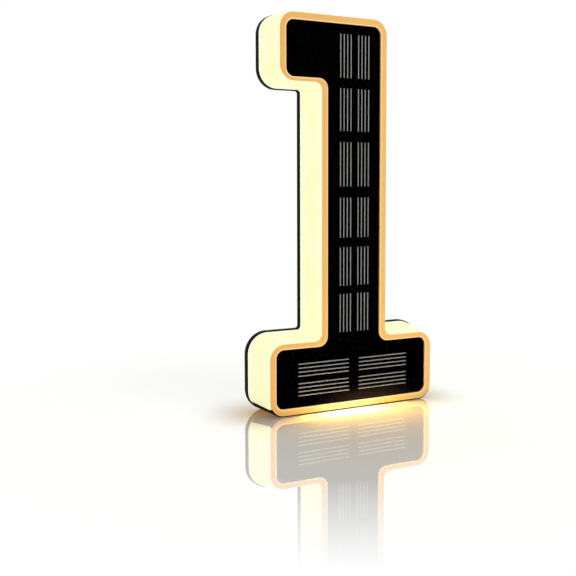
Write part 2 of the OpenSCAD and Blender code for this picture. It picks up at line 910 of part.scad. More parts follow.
// Leads, each a route of [x, depth, z]
lead_lift = 3;
lead_pitch = 2.2;
lead_d = control_back + lead_lift / 2;
battery_lead_x = 8;
board_top = button_z + control_h / 2;
pad_drop = 2.5;
module battery_lead(side, from_z, pad_z) {
    x = side * (lug_end - lug_w / 2);
    lead([
        [x, lug_d, from_z],
        [x, lug_d, from_z - lead_lift],
        [x, lug_d, tray_bottom - lead_lift],
        [side * battery_lead_x, control_front - lead_lift, board_top + lead_lift],
        [side * battery_lead_x, control_front - lead_lift, pad_z],
        [side * battery_lead_x, control_front, pad_z]
    ]);
}
module battery_leads() {
    pad_z = board_top - 2 * pad_drop;
    color(lead_red) {
        battery_lead(1, tray_inside, pad_z);
        battery_lead(-1, tray_top - tray_end - contact_t, pad_z);
    }
}
module panel_leads() {
    pad_z = board_top - pad_drop;
    color(lead_red)
        for (s = [-1, 1])
            lead([
                [s * panel_lead_x, board_back, panel_lead_z],
                [s * panel_lead_x, board_back + lead_lift, panel_lead_z],
                [s * panel_lead_x, (board_back + control_front) / 2, (panel_lead_z + pad_z) / 2],
                [s * panel_lead_x, control_front - lead_lift, pad_z],
                [s * panel_lead_x, control_front, pad_z]
            ]);
}
module stem_led_leads() {
    side_x = tray_x + tray_side + lead_pitch;
    from_z = board_top - pad_drop;
    to_z = stem_strip_low + pad_drop;
    color(lead_red)
        for (i = [0, 1]) {
            x = side_x + i * lead_pitch;
            end_x = (i - 0.5) * lead_pitch;
            lead([
                [x, control_back, from_z],
                [x, lead_d, from_z],
                [x, lead_d, foot_h],
                [x, lead_d, tray_top],
                [(x + end_x) / 2, lead_d, tray_top + strip_room / 2 + i * lead_pitch],
                [end_x, lead_d, to_z],
                [end_x, strip_front, to_z]
            ]);
        }
}
module foot_led_leads() {
    from_z = board_top - pad_drop;
    color(lead_red)
        for (s = [-1, 1])
            lead([
                [s * lead_pitch, control_back, from_z],
                [s * lead_pitch, lead_d, from_z],
                [s * lead_pitch, lead_d, (from_z + foot_strip_z) / 2],
                [s * lead_pitch, lead_d, foot_strip_z],
                [s * lead_pitch, strip_front, foot_strip_z]
            ]);
}
module flag_led_leads() {
    start_z = stem_strip_z + stem_strip_len / 2 - pad_drop;
    turn_x = -pocket_r - key_wall - lead_pitch;
    turn_z = stem_key_z - pocket_r - key_wall;
    end_x = flag_strip_right - pad_drop;
    front = strip_front - lead_lift;
    color(lead_red)
        for (s = [-0.5, 0.5])
            lead([
                [0, strip_front, start_z + s * lead_pitch],
                [0, front, start_z + s * lead_pitch],
                [turn_x + s * lead_pitch, front, (start_z + turn_z) / 2 + s * lead_pitch],
                [end_x + s * lead_pitch, front, turn_z + lead_lift],
                [end_x + s * lead_pitch, front, flag_strip_z],
                [end_x + s * lead_pitch, strip_front, flag_strip_z]
            ]);
}

back_plate();
diffuser_shell();
front_bezel();
rim_seal();
panel_window();
panel_board();
solar_cell(stem_cells[0]);  // stem_cell_1
solar_cell(stem_cells[1]);  // stem_cell_2
solar_cell(stem_cells[2]);  // stem_cell_3
solar_cell(stem_cells[3]);  // stem_cell_4
solar_cell(stem_cells[4]);  // stem_cell_5
solar_cell(stem_cells[5]);  // stem_cell_6
solar_cell(foot_cells[0]);  // foot_cell_left
solar_cell(foot_cells[1]);  // foot_cell_right
busbars(stem_cells[0]);  // stem_busbars_1
busbars(stem_cells[1]);  // stem_busbars_2
busbars(stem_cells[2]);  // stem_busbars_3
busbars(stem_cells[3]);  // stem_busbars_4
busbars(stem_cells[4]);  // stem_busbars_5
busbars(stem_cells[5]);  // stem_busbars_6
busbars(foot_cells[0]);  // foot_busbars_left
busbars(foot_cells[1]);  // foot_busbars_right
reflector_sheet();
led_strip(stem_strip);  // stem_led_strip
led_strip(flag_strip);  // flag_led_strip
led_strip(foot_strip);  // foot_led_strip
leds(stem_strip);  // stem_leds
leds(flag_strip);  // flag_leds
leds(foot_strip);  // foot_leds
control_board();
charge_chip();
boost_inductor();
board_capacitors();
board_resistors();
switch_body();
switch_plunger();
button_cap();
button_spring();
battery_holder();
battery_cell();
battery_contact();
battery_spring();
battery_leads();
panel_leads();
stem_led_leads();
flag_led_leads();
foot_led_leads();
cover_screws();
board_screws();
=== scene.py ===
# Solar house number in the shape of a slab-serif figure one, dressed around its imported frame.
# X runs to the right as seen from the front, Y from the front face to the wall, Z up.
# Sizes are in millimetres and turn to metres where a mesh is made. The floor and the lamps are in metres.
import math

import bmesh
import bpy
from mathutils import Matrix, Vector


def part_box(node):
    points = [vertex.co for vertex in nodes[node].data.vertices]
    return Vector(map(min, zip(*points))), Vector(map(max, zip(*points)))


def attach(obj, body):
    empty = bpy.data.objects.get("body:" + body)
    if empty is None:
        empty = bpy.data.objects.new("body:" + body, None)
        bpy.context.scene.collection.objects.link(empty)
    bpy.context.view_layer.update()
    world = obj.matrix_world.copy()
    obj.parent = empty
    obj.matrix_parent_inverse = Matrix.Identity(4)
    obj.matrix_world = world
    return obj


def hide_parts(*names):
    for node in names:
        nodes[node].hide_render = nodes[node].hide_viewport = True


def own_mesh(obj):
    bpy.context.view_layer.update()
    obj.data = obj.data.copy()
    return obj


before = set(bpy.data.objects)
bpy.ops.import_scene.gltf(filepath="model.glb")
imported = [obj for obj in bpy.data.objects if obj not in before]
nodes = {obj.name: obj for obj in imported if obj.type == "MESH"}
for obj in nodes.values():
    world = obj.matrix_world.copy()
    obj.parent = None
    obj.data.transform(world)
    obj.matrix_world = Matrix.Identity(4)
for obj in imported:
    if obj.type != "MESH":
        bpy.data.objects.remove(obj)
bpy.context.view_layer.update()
MM = 0.001

# Outline of the figure, as the part draws it. A flare is how far an edge leans out from front to wall
SIGN_H = 200.0
STEM_W = 39.0
FOOT_W = 98.0
FOOT_H = 37.0
FLAG_REACH = 23.5
FLAG_H = 33.6
CORNER_R = 8.0
INNER_CORNER_R = 3.75
SIDE_FLARE = 2.25
FOOT_FLARE = 3.5
STEP_FLARE = 4.0
TOP_FLARE = 1.25
LEAST_R = 0.3
ARC_STEPS = 18
ROUND_STEPS = 48

# Rim, the panel's edge, and a painted reflection: the brown gleam painted into the film above the rim
RIM_W = 3.8
UNDER_RIM_W = 2.3
STEP_RIM_W = 3.1
PANEL_INNER_R = 5.0
RIM_ROUND = 0.6
RIM_STEPS = 8
AMBER_STEPS = 3
BEVEL_W = 0.6
BEVEL_EASE = 0.05
WINDOW_GAP = 0.15
FILM_BACK = 0.75
FILM_EASE = 0.08
STEM_CELLS = range(1, 7)
FINGER_PITCH = 1.2
PAINTED_GLEAM_X = 8.0
PAINTED_GLEAM_WIDTH_SHARE = 0.36
PAINTED_GLEAM_REACH = 14.0

# Depth stations measured from the front face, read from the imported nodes
front_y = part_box("front_bezel")[0].y


def station(node, end):
    """Depth of a node's nearest (0) or furthest (1) face behind the front face."""
    return round((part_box(node)[end].y - front_y) / MM, 3)


RIM_BACK = station("front_bezel", 1)
WINDOW_FRONT = station("panel_window", 0)
BOARD_BACK = station("panel_board", 1)
WALL_BACK = station("rim_seal", 0)
PLATE_FRONT = station("rim_seal", 1)
SIGN_DEPTH = station("back_plate", 1)
CONTROL_BACK = station("control_board", 1)
FLANGE_FRONT = station("button_cap", 0)
CAP_REAR = station("button_cap", 1)
COIL_FRONT = station("button_spring", 0)
COIL_REAR = station("button_spring", 1)

# Side wall, its ledge and the clear seal, and how far up the painted contact shadow reaches
WALL_T = 1.8
LEDGE_T = 1.5
WALL_EASE = 0.15
SEAL_IN = 0.1
SEAL_EASE = 0.12
CONTACT_SHADOW_Z = 4.6
CONTACT_SHADOW_TILT = 0.05

# Cover posts and screws
POST_R = 2.6
POST_BORE_R = 1.05
POST_BORE_STEPS = 24
BORE_START = 0.2
POST_OUT_SHARE = 0.33
POST_IN = 4.0
MID_POST_SHARE = 0.63
SCREW_STEPS = 32
SCREW_HEAD_R = 1.9
SCREW_HEAD_T = 1.2
HEAD_FOOT_SHARE = 0.96
HEAD_BAND_SHARE = 0.3
HEAD_CROWN_SHARE = 0.45
SCREW_R = 1.0
SCREW_CORE_R = 0.78
SCREW_LEN = 9.0
THREAD_PITCH = 0.75
THREAD_FLANK_SHARE = 0.9
TIP_LEN = 1.5
TIP_R_SHARE = 0.25
CROSS_W = 0.5
CROSS_LEN = 2.4
CROSS_DEPTH = 0.75
CROSS_END_LEN_SHARE = 0.55
CROSS_END_W_SHARE = 0.6
COUNTERBORE_R = 2.2
COUNTERBORE = 1.3
PLATE_HOLE_R = 1.1

# Back plate and keyholes
PLATE_ROUND = 0.2
PLATE_STEPS = 5
CHAMFER = 0.3
OVERRUN = 0.2
KEY_R = 4.5
KEY_SLOT_W = 4.8
KEY_TRAVEL = 7.5
KEY_POCKET = 4.6
KEY_POCKET_R = 4.7
KEY_WALL = 1.2
KEYS = [(-35.0, 14.5), (35.0, 14.5), (0.0, 178.0)]

# Mode button, its return spring and the control board's posts
BUTTON_Z = round((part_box("button_cap")[0].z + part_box("button_cap")[1].z) / 2 / MM, 3)
BUTTON_STEPS = 64
BUTTON_R = 4.1
BUTTON_GAP = 0.08
BUTTON_ROUND = 0.45
BUTTON_DISH = 0.3
DISH_RADII = (1.8, 1.2, 0.6, 0.2)
RING_R = 2.6
RING_FALL = 0.35
RING_SIDE = 0.2
RING_CREST = 0.06
RING_GROOVE = 0.22
RING_LIP = 0.12
FLANGE_R = 5.2
FLANGE_T = 1.0
FLANGE_EASE = 0.1
FINGER_R = 7.0
FINGER_DEPTH = 1.0
FINGER_FLAT = 0.7
COIL_R = 2.8
COIL_WIRE_R = 0.2
COIL_TURNS = 2
COIL_STEPS = 32
WIRE_STEPS = 12
BOARD_POST_R = 2.4
BOARD_POSTS = [(x, BUTTON_Z + z) for x in (-17.0, 17.0) for z in (-5.0, 5.0)]

# Patterns of the finishes, in millimetres
GLOSS_SWING = 0.15
LAMP_GLOW = 16.0
OPAL_GRAIN = 0.5
OPAL_RELIEF = 0.01
AMBER_CLOUD = 14.0
AMBER_CLOUD_SHARE = 0.3
AMBER_GRAIN = 0.6
AMBER_RELIEF = 0.006
FILM_HAZE = 6.0
FINGER_EDGE = 0.9
WAVE_UNIT = math.pi / 10  # period of a wave texture at scale 1

# Floor, in metres: how much it mirrors, where it fades to white, and the painted shadow and warm glow at the
# foot's ends
FLOOR_R = 3.0
FLOOR_STEPS = 96
FLOOR_ROUGHNESS = 0.02
POLISH_NEAR = 0.64
POLISH_FAR = 0.5
POLISH_START = 0.03
POLISH_END = 0.11
FLOOR_LIFT = 0.06
FADE_NEAR = 0.125
FADE_FAR = 0.2085
SHADE_SHIFT = (0.004, 0, 0)
FOOT_END = (0.044, 0, 0)
SHADE_REACH = 0.042
SHADE_FALL = 2.0
PAINTED_GLOW_FALL = 6.0
PAINTED_GLOW_LIFT = 0.33

# Lamps and world, in metres and watts
WORLD_LEVEL = 0.8
KEY_SIZE = 1.2
KEY_WATTS = 9.0
KEY_PLACE = (0.9, -1.6, 1.5)
KEY_AIM = (0, 0, 0.08)
GLOW_WATTS = 0.003
GLOW_W = 0.032
GLOW_DEPTH = 0.006
GLOW_COLOUR = (0.84, 0.84, 1.0)
GLOW_PLACE = (-0.004, -0.006, 0.005)
GLOW_TILT = 0
SPILL_WATTS = 0.08
SPILL_W = 0.064
SPILL_H = 0.02
SPILL_COLOUR = (1.0, 0.54, 0.06)
SPILL_PLACE = (0.0, -0.001, 0.0105)
SPILL_TILT = -90

# The photograph's view, fitted to the outlines of the figure
FRAME_PIXELS = 576
FOCAL_PIXELS = 891.08
CENTRE_PIXEL_Y = 262
EYE = (-244.22, -398.83, 113.59)
YAW = 27.92
PITCH = 4.65
ROLL = -0.15
SENSOR = 36
NEAR_CLIP = 0.01


def linear(code):
    """An sRGB hex colour as linear RGBA."""
    parts = [int(code[i:i + 2], 16) / 255 for i in (1, 3, 5)]
    return [p / 12.92 if p <= 0.04045 else ((p + 0.055) / 1.055) ** 2.4 for p in parts] + [1.0]


def add(tree, kind, settings=None, links=None, **attributes):
    """Adds a shader node with its attributes, its plain inputs and the sockets that feed it."""
    node = tree.nodes.new(kind)
    for key, value in attributes.items():
        setattr(node, key, value)
    for key, value in (settings or {}).items():
        node.inputs[key].default_value = value
    for key, socket in (links or {}).items():
        tree.links.new(socket, node.inputs[key])
    return node


def lean(depth, flare=SIDE_FLARE):
    """How far an edge has moved outward at a depth."""
    return flare * depth / SIGN_DEPTH


def arc(x, z, r, start, end):
    """Points of a round corner, in degrees."""
    turns = [math.radians(start + (end - start) * i / ARC_STEPS) for i in range(ARC_STEPS + 1)]
    return [(x + r * math.cos(a), z + r * math.sin(a)) for a in turns]


def outline(inset, depth, panel=0):
    """Front view of the figure at a depth, drawn in by inset. At panel=1 it follows the panel's edge."""
    g = lean(depth) - inset
    h = lean(depth, FOOT_FLARE) - inset
    r = max(CORNER_R + g, LEAST_R)
    t = max(CORNER_R + h, LEAST_R)
    f = max(INNER_CORNER_R - g - panel * (INNER_CORNER_R + RIM_W - PANEL_INNER_R), LEAST_R)
    stem = STEM_W / 2 + g
    foot = FOOT_W / 2 + h
    flag = STEM_W / 2 + FLAG_REACH + g
    top = SIGN_H + lean(depth, TOP_FLARE) - inset
    step = FOOT_H + lean(depth, STEP_FLARE) - inset + panel * (RIM_W - STEP_RIM_W)
    under = SIGN_H - FLAG_H - g - panel * (RIM_W - UNDER_RIM_W)
    return (
        arc(-foot + t, inset + t, t, 180, 270)
        + arc(foot - t, inset + t, t, 270, 360)
        + arc(foot - t, step - t, t, 0, 90)
        + arc(stem + f, step + f, f, 270, 180)
        + arc(stem - r, top - r, r, 0, 90)
        + arc(-flag + r, top - r, r, 90, 180)
        + arc(-flag + r, under + r, r, 180, 270)
        + arc(-stem - f, under - f, f, 90, 0)
        + arc(-stem - f, step + f, f, 360, 270)
        + arc(-foot + t, step - t, t, 90, 180)
    )


def at_depth(points, depth):
    """A front view in millimetres, set at a depth behind the front face, in metres."""
    return [Vector((x * MM, front_y + depth * MM, z * MM)) for x, z in points]


def circle(x, z, r, steps=ROUND_STEPS):
    """Points of a full circle."""
    return [
        (x + r * math.cos(2 * math.pi * i / steps), z + r * math.sin(2 * math.pi * i / steps))
        for i in range(steps)
    ]


def quarter(steps):
    """Angles of a quarter turn."""
    return [math.radians(90 * i / steps) for i in range(steps + 1)]


def skin(bm, rings, closed=False, paints=None):
    """Joins rings of equal length with faces: a closed row makes a frame, an open one gets ends."""
    rows = [[bm.verts.new(p) for p in ring] for ring in rings]
    count = len(rows[0])
    last = len(rows) if closed else len(rows) - 1
    for k in range(last):
        a, b = rows[k], rows[(k + 1) % len(rows)]
        for i in range(count):
            face = bm.faces.new((a[i], a[(i + 1) % count], b[(i + 1) % count], b[i]))
            face.material_index = paints[k] if paints else 0
    if not closed:
        bm.faces.new(rows[0])
        bm.faces.new(rows[-1])


def swept(bm, section, paints=None):
    """Sweeps a closed section of (inset, depth, panel) corners round the figure."""
    skin(bm, [at_depth(outline(i, d, p), d) for i, d, p in section], closed=True, paints=paints)


def turned(bm, x, z, profile, steps=ROUND_STEPS):
    """A solid turned about the depth axis from (depth, radius) corners."""
    skin(bm, [at_depth(circle(x, z, r, steps), d) for d, r in profile])


def boxed(bm, x, z, width, height, start, end):
    """A block between two depths, for the pockets of the keyholes and the walls round them."""
    w, h = width / 2, height / 2
    corners = [(x - w, z - h), (x + w, z - h), (x + w, z + h), (x - w, z + h)]
    skin(bm, [at_depth(corners, start), at_depth(corners, end)])


def solid(bm, name):
    """An object from the mesh under construction, with its faces turned outward."""
    bmesh.ops.recalc_face_normals(bm, faces=bm.faces)
    mesh = bpy.data.meshes.new(name)
    bm.to_mesh(mesh)
    bm.free()
    obj = bpy.data.objects.new(name, mesh)
    bpy.context.scene.collection.objects.link(obj)
    return obj


def carve(obj, tool, operation):
    """Cuts or adds a tool, which is then gone."""
    step = obj.modifiers.new("carve", "BOOLEAN")
    step.operation = operation
    step.object = tool
    step.solver = "EXACT"
    ready = bpy.context.evaluated_depsgraph_get()
    ready.update()
    mesh = bpy.data.meshes.new_from_object(obj.evaluated_get(ready))
    obj.modifiers.clear()
    obj.data = mesh
    bpy.data.objects.remove(tool)


def paint_contact_shadow(obj, slot):
    """Gives the faces that the foot rests on, and those just above them, the material in a slot, as a painted
    contact shadow.
    """
    for face in obj.data.polygons:
        if face.center.z < CONTACT_SHADOW_Z * MM and face.normal.z < -CONTACT_SHADOW_TILT:
            face.material_index = slot


def dress(obj, materials, stands_for, body="sign", sharp=32):
    """Shades a finished piece and hangs it on its body."""
    for material in materials:
        obj.data.materials.append(material)
    obj.data.shade_smooth()
    obj.data.set_sharp_from_angle(angle=math.radians(sharp))
    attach(obj, body)
    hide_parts(*stands_for)


def coat(material, *names):
    """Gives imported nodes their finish."""
    for name in names:
        nodes[name].data.materials.clear()
        nodes[name].data.materials.append(material)


def blank(name):
    """A new material with an empty tree, and the place on the object that its patterns read."""
    material = bpy.data.materials.new(name)
    material.use_nodes = True
    tree = material.node_tree
    tree.nodes.clear()
    return material, tree, add(tree, "ShaderNodeTexCoord").outputs["Object"]


def finish(name, tones, settings, patch, grain, relief, stretch=(1, 1, 1)):
    """A surface of two close tones in patches, with a fine grain that has some relief, in millimetres.

    Stretch draws the grain out along an axis, as rolling or wire drawing does.
    """
    material, tree, place = blank(name)
    drawn = add(
        tree, "ShaderNodeMapping", {"Scale": [1 / s for s in stretch]}, {"Vector": place},
    ).outputs["Vector"]
    clouds = add(tree, "ShaderNodeTexNoise", {"Scale": 1 / (patch * MM), "Detail": 3}, {"Vector": place})
    speck = add(tree, "ShaderNodeTexNoise", {"Scale": 1 / (grain * MM), "Detail": 2}, {"Vector": drawn})
    colour = add(
        tree, "ShaderNodeMix", {"A": linear(tones[0]), "B": linear(tones[1])},
        {"Factor": clouds.outputs["Fac"]}, data_type="RGBA",
    )
    dull = settings["Roughness"]
    gloss = add(
        tree, "ShaderNodeMapRange", {"To Min": dull * (1 - GLOSS_SWING), "To Max": dull * (1 + GLOSS_SWING)},
        {"Value": speck.outputs["Fac"]},
    )
    bump = add(tree, "ShaderNodeBump", {"Distance": relief * MM}, {"Height": speck.outputs["Fac"]})
    shader = add(
        tree, "ShaderNodeBsdfPrincipled", settings,
        {"Base Color": colour.outputs["Result"], "Roughness": gloss.outputs["Result"],
         "Normal": bump.outputs["Normal"]},
    )
    add(tree, "ShaderNodeOutputMaterial", links={"Surface": shader.outputs["BSDF"]})
    return material


def opal_acrylic():
    """Opal acrylic, extruded and lit from inside: creamy, even, a little yellower over the lamps."""
    material, tree, place = blank("opal_acrylic_lit")
    lamps = add(tree, "ShaderNodeTexNoise", {"Scale": 1 / (LAMP_GLOW * MM), "Detail": 1}, {"Vector": place})
    depth = add(tree, "ShaderNodeSeparateXYZ", links={"Vector": place}).outputs["Y"]
    band = add(
        tree, "ShaderNodeMapRange",
        {"From Min": front_y, "From Max": front_y + WALL_BACK * MM, "To Min": -1.0, "To Max": 1.0},
        {"Value": depth},
    ).outputs["Result"]
    square = add(tree, "ShaderNodeMath", links={0: band, 1: band}, operation="MULTIPLY")
    middle = add(tree, "ShaderNodeMath", {0: 1.0}, {1: square.outputs["Value"]}, operation="SUBTRACT")
    light_and_shade_mix = add(
        tree, "ShaderNodeMath", links={0: middle.outputs["Value"], 1: lamps.outputs["Fac"]},
        operation="MULTIPLY",
    ).outputs["Value"]
    body = add(
        tree, "ShaderNodeMix", {"A": linear("#B6B69E"), "B": linear("#B6B58E")},
        {"Factor": light_and_shade_mix}, data_type="RGBA",
    )
    light = add(
        tree, "ShaderNodeMix", {"A": linear("#FEFFD6"), "B": linear("#FEFCB4")},
        {"Factor": light_and_shade_mix}, data_type="RGBA",
    )
    speck = add(tree, "ShaderNodeTexNoise", {"Scale": 1 / (OPAL_GRAIN * MM), "Detail": 2}, {"Vector": place})
    bump = add(tree, "ShaderNodeBump", {"Distance": OPAL_RELIEF * MM}, {"Height": speck.outputs["Fac"]})
    shader = add(
        tree, "ShaderNodeBsdfPrincipled",
        {"Roughness": 0.45, "IOR": 1.49, "Specular IOR Level": 0.25, "Emission Strength": 0.58},
        {"Base Color": body.outputs["Result"], "Emission Color": light.outputs["Result"],
         "Normal": bump.outputs["Normal"]},
    )
    add(tree, "ShaderNodeOutputMaterial", links={"Surface": shader.outputs["BSDF"]})
    return material


def satin_amber():
    """Amber acrylic, satin faced: warm and even, with painted shade that darkens it towards the left end."""
    material, tree, place = blank("amber_acrylic_satin")
    clouds = add(
        tree, "ShaderNodeTexNoise", {"Scale": 1 / (AMBER_CLOUD * MM), "Detail": 2}, {"Vector": place},
    )
    across = add(tree, "ShaderNodeSeparateXYZ", links={"Vector": place}).outputs["X"]
    reach = add(
        tree, "ShaderNodeMapRange", {"From Min": -FOOT_W / 2 * MM, "From Max": FOOT_W / 2 * MM},
        {"Value": across},
    )
    light_and_shade_mix = add(
        tree, "ShaderNodeMix", {"Factor": AMBER_CLOUD_SHARE},
        {"A": reach.outputs["Result"], "B": clouds.outputs["Fac"]}, data_type="FLOAT",
    )
    # Painted shade: the tone darkens towards the left end and lightens towards the right
    tone = add(
        tree, "ShaderNodeMix", {"A": linear("#E3AE62"), "B": linear("#F4C170")},
        {"Factor": light_and_shade_mix.outputs["Result"]}, data_type="RGBA",
    )
    speck = add(tree, "ShaderNodeTexNoise", {"Scale": 1 / (AMBER_GRAIN * MM), "Detail": 2}, {"Vector": place})
    gloss = add(
        tree, "ShaderNodeMapRange", {"To Min": 0.34, "To Max": 0.46}, {"Value": speck.outputs["Fac"]},
    )
    bump = add(tree, "ShaderNodeBump", {"Distance": AMBER_RELIEF * MM}, {"Height": speck.outputs["Fac"]})
    shader = add(
        tree, "ShaderNodeBsdfPrincipled",
        {"IOR": 1.49, "Specular IOR Level": 0.3, "Emission Color": linear("#C98A3C"),
         "Emission Strength": 0.1},
        {"Base Color": tone.outputs["Result"], "Roughness": gloss.outputs["Result"],
         "Normal": bump.outputs["Normal"]},
    )
    add(tree, "ShaderNodeOutputMaterial", links={"Surface": shader.outputs["BSDF"]})
    return material


def clear_pet():
    """Clear PET film, laminated: glossy, with a painted reflection, a faint brown gleam, along its lower
    edge.
    """
    material, tree, place = blank("clear_pet_film")
    haze = add(tree, "ShaderNodeTexNoise", {"Scale": 1 / (FILM_HAZE * MM), "Detail": 2}, {"Vector": place})
    tone = add(
        tree, "ShaderNodeMix", {"A": linear("#010101"), "B": linear("#030303")},
        {"Factor": haze.outputs["Fac"]}, data_type="RGBA",
    )
    # Painted reflection of the foot's glow: a brown emission that fades away from a point above the bottom
    # border
    flat = add(tree, "ShaderNodeVectorMath", {1: (PAINTED_GLEAM_WIDTH_SHARE, 1, 1)}, {0: place}, operation="MULTIPLY")
    gleam_centre = (PAINTED_GLEAM_X * PAINTED_GLEAM_WIDTH_SHARE * MM, front_y, 0)
    away = add(
        tree, "ShaderNodeVectorMath", {1: gleam_centre}, {0: flat.outputs["Vector"]}, operation="DISTANCE",
    ).outputs["Value"]
    painted_gleam = add(
        tree, "ShaderNodeMapRange",
        {"From Min": 0.0, "From Max": PAINTED_GLEAM_REACH * MM, "To Min": 1.0, "To Max": 0.0}, {"Value": away},
        interpolation_type="SMOOTHSTEP",
    )
    warm = add(
        tree, "ShaderNodeMix", {"A": linear("#000000"), "B": linear("#3E2D20")},
        {"Factor": painted_gleam.outputs["Result"]}, data_type="RGBA",
    )
    shader = add(
        tree, "ShaderNodeBsdfPrincipled",
        {"Alpha": 0.15, "Roughness": 0.06, "IOR": 1.57, "Specular IOR Level": 0.02, "Emission Strength": 3.4},
        {"Base Color": tone.outputs["Result"], "Emission Color": warm.outputs["Result"]},
    )
    add(tree, "ShaderNodeOutputMaterial", links={"Surface": shader.outputs["BSDF"]})
    return material


def silicon(name, along):
    """Monocrystalline silicon, etched and coated: nearly black, with faint printed fingers."""
    material, tree, place = blank(name)
    fingers = add(
        tree, "ShaderNodeTexWave", {"Scale": WAVE_UNIT / (FINGER_PITCH * MM)}, {"Vector": place},
        wave_type="BANDS", bands_direction=along, wave_profile="SIN",
    )
    thin = add(
        tree, "ShaderNodeMapRange", {"From Min": FINGER_EDGE}, {"Value": fingers.outputs["Fac"]},
    )
    tone = add(
        tree, "ShaderNodeMix", {"A": linear("#010101"), "B": linear("#060607")},
        {"Factor": thin.outputs["Result"]}, data_type="RGBA",
    )
    shader = add(
        tree, "ShaderNodeBsdfPrincipled", {"Roughness": 0.12, "IOR": 1.5, "Specular IOR Level": 0.0},
        {"Base Color": tone.outputs["Result"]},
    )
    add(tree, "ShaderNodeOutputMaterial", links={"Surface": shader.outputs["BSDF"]})
    return material


opal = opal_acrylic()
amber = satin_amber()
film = clear_pet()
upright_silicon = silicon("silicon_upright", "Z")
lying_silicon = silicon("silicon_lying", "X")
# The same acrylic as the rim, diamond cut, with a painted highlight: the bevel shows paler and glows faintly
amber_bevel_highlight = finish(
    "amber_acrylic_cut_edge_painted_highlight", ("#F5CC84", "#FBD796"),
    {"Roughness": 0.2, "IOR": 1.49, "Specular IOR Level": 0.3,
     "Emission Color": linear("#FFDC96"), "Emission Strength": 0.12},
    patch=9, grain=0.5, relief=0.004,
)
# Painted contact shadow: a dull near-black on the faces the foot rests on and just above them, where shade
# falls at the floor
painted_shadow_finish = finish(
    "painted_contact_shadow", ("#040404", "#080808"),
    {"Roughness": 0.7, "IOR": 1.5, "Specular IOR Level": 0.05}, patch=4, grain=0.3, relief=0.006,
)
# Clear silicone, moulded: full of the light that it lets past the side wall
clear_silicone = finish(
    "clear_silicone_lit", ("#FDFFF2", "#FFFFE6"),
    {"Roughness": 0.5, "IOR": 1.41, "Emission Color": linear("#FEFFF0"), "Emission Strength": 0.6},
    patch=10, grain=0.5, relief=0.01,
)
# Black ABS, moulded in a spark-eroded tool: deep and even, with hardly any shine
black_abs = finish(
    "black_abs_moulded", ("#0B0B0C", "#131315"),
    {"Roughness": 0.5, "IOR": 1.54, "Specular IOR Level": 0.02}, patch=9, grain=0.35, relief=0.012,
)
# Solder mask over glass laminate, black: the face of the panel between its cells
black_mask = finish(
    "black_solder_mask", ("#010101", "#020202"),
    {"Roughness": 0.14, "IOR": 1.5, "Specular IOR Level": 0.0}, patch=12, grain=0.8, relief=0.002,
)
# Tinned copper ribbon, rolled: grey, with a soft shine
tinned_ribbon = finish(
    "tinned_copper_ribbon", ("#B4B3AE", "#CCCBC6"), {"Roughness": 0.34, "Metallic": 1.0},
    patch=3, grain=0.4, relief=0.003,
)
# White PET film, matt: it throws the light back
white_film = finish(
    "white_pet_film", ("#F1F1ED", "#F7F7F3"), {"Roughness": 0.7, "IOR": 1.57},
    patch=12, grain=0.6, relief=0.004,
)
# White solder mask on aluminium: smooth and faintly uneven over its tracks
white_mask = finish(
    "white_solder_mask", ("#E8E8E1", "#F1F1EB"), {"Roughness": 0.35, "IOR": 1.5},
    patch=5, grain=0.5, relief=0.006,
)
# Phosphor under clear resin: a warm yellow, grainy close to
phosphor = finish(
    "phosphor_resin", ("#F3CF4C", "#FADF70"),
    {"Roughness": 0.25, "IOR": 1.5, "Emission Color": linear("#FFE7A0"), "Emission Strength": 0.8},
    patch=0.6, grain=0.12, relief=0.01,
)
# Green solder mask on glass laminate: tracks show as soft steps in tone
green_mask = finish(
    "green_solder_mask", ("#184E2C", "#256B3E"), {"Roughness": 0.3, "IOR": 1.5},
    patch=2.2, grain=0.3, relief=0.008,
)
# Epoxy, transfer moulded: matt charcoal with a fine pebble
moulded_epoxy = finish(
    "moulded_epoxy", ("#151618", "#1D1E21"), {"Roughness": 0.6, "IOR": 1.55},
    patch=1.5, grain=0.12, relief=0.008,
)
# Ferrite, pressed and fired: dull dark grey with a dusty face
ferrite = finish(
    "pressed_ferrite", ("#35363A", "#434449"), {"Roughness": 0.75, "IOR": 2.0},
    patch=1.2, grain=0.15, relief=0.012,
)
# Aluminium can, deep drawn: bright, with streaks along its height
drawn_aluminium = finish(
    "drawn_aluminium", ("#C2C4C8", "#D3D5D8"), {"Roughness": 0.25, "Metallic": 1.0},
    patch=2, grain=0.2, relief=0.003, stretch=(1, 8, 1),
)
# Ceramic chip, fired: black with a glassy top
fired_ceramic = finish(
    "fired_ceramic", ("#1E1F22", "#28292D"), {"Roughness": 0.4, "IOR": 1.6},
    patch=0.8, grain=0.1, relief=0.004,
)
# Nylon, moulded: mid grey, waxy
moulded_nylon = finish(
    "moulded_nylon", ("#888A8E", "#95979B"), {"Roughness": 0.5, "IOR": 1.53},
    patch=3, grain=0.2, relief=0.008,
)
# Acetal, moulded: white and slippery
moulded_acetal = finish(
    "moulded_acetal", ("#F0F0EB", "#F7F7F3"), {"Roughness": 0.3, "IOR": 1.48},
    patch=2, grain=0.2, relief=0.004,
)
# Silicone rubber, moulded: soft black that hardly shines
black_silicone = finish(
    "black_silicone", ("#131315", "#1A1A1C"), {"Roughness": 0.62, "IOR": 1.41},
    patch=3, grain=0.22, relief=0.01,
)
# Music wire, drawn: grey steel with a fine grain
music_wire = finish(
    "drawn_music_wire", ("#A6A8AD", "#C0C2C6"), {"Roughness": 0.28, "Metallic": 1.0},
    patch=0.8, grain=0.08, relief=0.002,
)
# Shrink sleeve, green PVC over a steel can: glossy, with slight ripples
shrink_sleeve = finish(
    "green_shrink_sleeve", ("#338052", "#459864"), {"Roughness": 0.22, "IOR": 1.54},
    patch=8, grain=1.2, relief=0.03,
)
